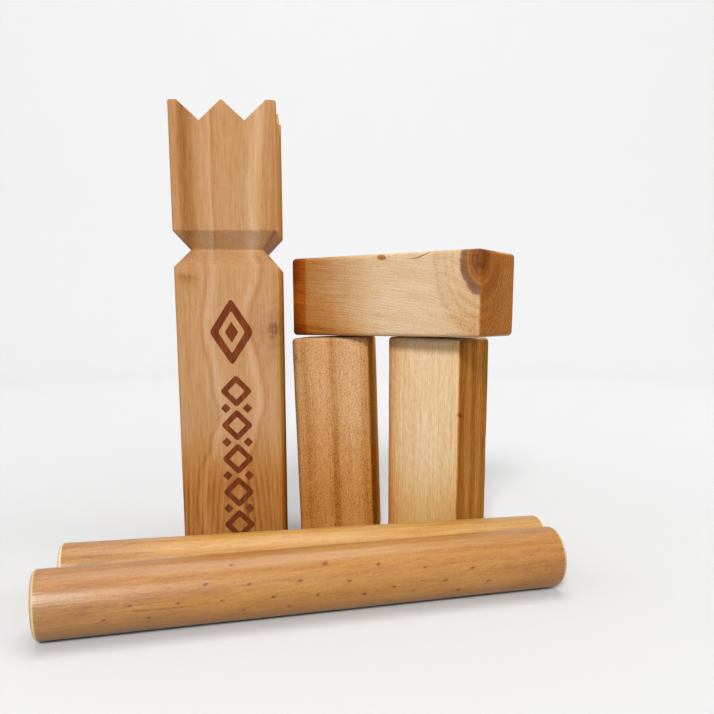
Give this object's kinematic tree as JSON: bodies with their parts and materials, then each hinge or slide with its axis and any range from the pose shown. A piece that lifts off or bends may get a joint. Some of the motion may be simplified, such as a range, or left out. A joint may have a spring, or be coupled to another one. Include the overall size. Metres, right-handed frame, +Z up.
{
  "type": "wooden lawn game set",
  "caption": "Kubb-style wooden lawn game set: a crowned king post, square block pins, one laid across two others, and round throwing batons.",
  "frame": {"origin": "middle of the set's footprint, on the surface that the pieces stand on", "axes": "+Z up; +X to the right and +Y away from a viewer in front of the batons, so the set is widest along X and shallowest along Y"},
  "size_m": [0.3006, 0.2544, 0.3],
  "materials": {
    "king_wood": "satin",
    "left_block_wood": "satin",
    "right_block_wood": "satin",
    "lying_block_wood": "satin",
    "front_baton_wood": "satin",
    "rear_baton_wood": "satin"
  },
  "bodies": {
    "block_right": {"block_standing_right": "right_block_wood"},
    "block_left": {"block_standing_left": "left_block_wood"},
    "block_top": {"block_lying_on_top": "lying_block_wood"},
    "king": {"king": "king_wood"},
    "baton_front": {"baton_front": "front_baton_wood"},
    "baton_rear": {"baton_rear": "rear_baton_wood"}
  },
  "joints": [
    {"name": "king_lift", "type": "slide", "parent": "block_right", "child": "king", "axis": [0, 0, 1], "range_m": [0, 0.2]},
    {"name": "block_left_lift", "type": "slide", "parent": "block_right", "child": "block_left", "axis": [0, 0, 1], "range_m": [0, 0.2]},
    {"name": "block_top_lift", "type": "slide", "parent": "block_left", "child": "block_top", "axis": [0, 0, 1], "range_m": [0, 0.2]},
    {"name": "baton_front_lift", "type": "slide", "parent": "block_right", "child": "baton_front", "axis": [0, 0, 1], "range_m": [0, 0.2]},
    {"name": "baton_rear_lift", "type": "slide", "parent": "block_right", "child": "baton_rear", "axis": [0, 0, 1], "range_m": [0, 0.1]}
  ]
}
